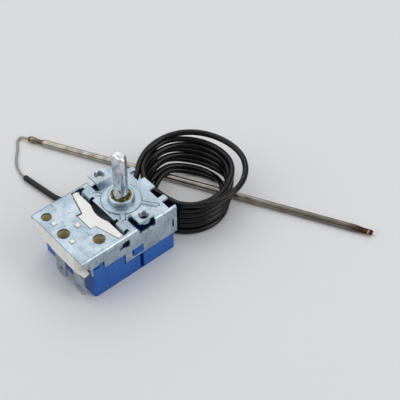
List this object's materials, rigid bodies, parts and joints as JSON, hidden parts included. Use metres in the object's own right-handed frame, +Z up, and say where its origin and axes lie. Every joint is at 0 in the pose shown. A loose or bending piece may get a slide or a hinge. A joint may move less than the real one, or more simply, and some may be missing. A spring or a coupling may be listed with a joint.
{
  "type": "oven thermostat",
  "caption": "Capillary thermostat for an oven: pressed frame with a flatted spindle, ceramic terminal block, blue housing, sleeved coiled capillary and rod-shaped sensor bulb.",
  "frame": {"origin": "on the spindle axis, in the plane of the two mounting ears' top faces", "axes": "+Z up along the spindle, +X along the terminal edge, +Y from the terminals to the rear edge where the capillary leaves"},
  "size_m": [0.14, 0.1109, 0.0485],
  "materials": {
    "zinc_plate": "bright zinc plate with fine rolling and handling scratches",
    "bush_brass": "turned",
    "spindle_steel": "turned and nickel plated",
    "capsule_steel": "dark, satin",
    "ceramic": "steatite ceramic, fired",
    "capillary_steel": "drawn stainless tube",
    "spring_steel": "drawn wire",
    "spring_bronze": "rolled",
    "contact_silver": "silver",
    "terminal_tin": "tin plated, stamped",
    "rivet_brass": "headed",
    "housing_blue": "moulded, satin",
    "grommet_black": "moulded",
    "sleeve_black": "extruded",
    "ferrule_bronze": "brazed, heat tinted",
    "bulb_steel": "drawn stainless tube, slightly heat tinted"
  },
  "bodies": {
    "body": {"frame_plate": "zinc_plate", "bush": "bush_brass", "lever_spring": "spring_steel", "fixed_contact": "contact_silver", "terminal_1": "terminal_tin", "terminal_2": "terminal_tin", "terminal_rivets": "rivet_brass", "terminal_block": "ceramic", "housing": "housing_blue", "grommet": "grommet_black", "sleeve_lead": "sleeve_black", "sleeve_coil": "sleeve_black", "sleeve_tail": "sleeve_black", "capillary": "capillary_steel", "bulb_ferrule": "ferrule_bronze", "sensor_bulb": "bulb_steel"},
    "diaphragm": {"capsule": "capsule_steel", "thrust_button": "ceramic", "capsule_lead": "capillary_steel"},
    "spindle": {"spindle": "spindle_steel"},
    "lever": {"lever": "ceramic"},
    "pushrod": {"pushrod": "ceramic"},
    "snap_blade": {"snap_spring": "spring_bronze", "moving_contact": "contact_silver"}
  },
  "joints": [
    {"name": "capsule_lift", "type": "slide", "parent": "body", "child": "diaphragm", "axis": [0, 0, 1], "range_m": [0, 0.0006]},
    {"name": "spindle_turn", "type": "hinge", "parent": "diaphragm", "child": "spindle", "pos_m": [0, 0, 0], "axis": [0, 0, 1], "range_deg": [-270, 0]},
    {"name": "lever_rock", "type": "hinge", "parent": "body", "child": "lever", "pos_m": [0, -0.0091, -0.0095], "axis": [1, 0, 0], "range_deg": [-0.1, 4], "deforming": ["lever_spring"]},
    {"name": "pushrod_slide", "type": "slide", "parent": "body", "child": "pushrod", "axis": [0, 0, 1], "range_m": [-0.0006, 0.00001]},
    {"name": "blade_swing", "type": "hinge", "parent": "body", "child": "snap_blade", "pos_m": [0.0085, -0.017, -0.0138], "axis": [0, 1, 0], "range_deg": [-4.3, 0.1]}
  ],
  "couplings": [
    {"joint": "spindle_turn", "follows": "capsule_lift", "rad_per_m": -7854},
    {"joint": "lever_rock", "follows": "capsule_lift", "rad_per_m": 109.89},
    {"joint": "pushrod_slide", "follows": "capsule_lift", "ratio": -0.9733},
    {"joint": "blade_swing", "follows": "capsule_lift", "rad_per_m": -119.17}
  ]
}
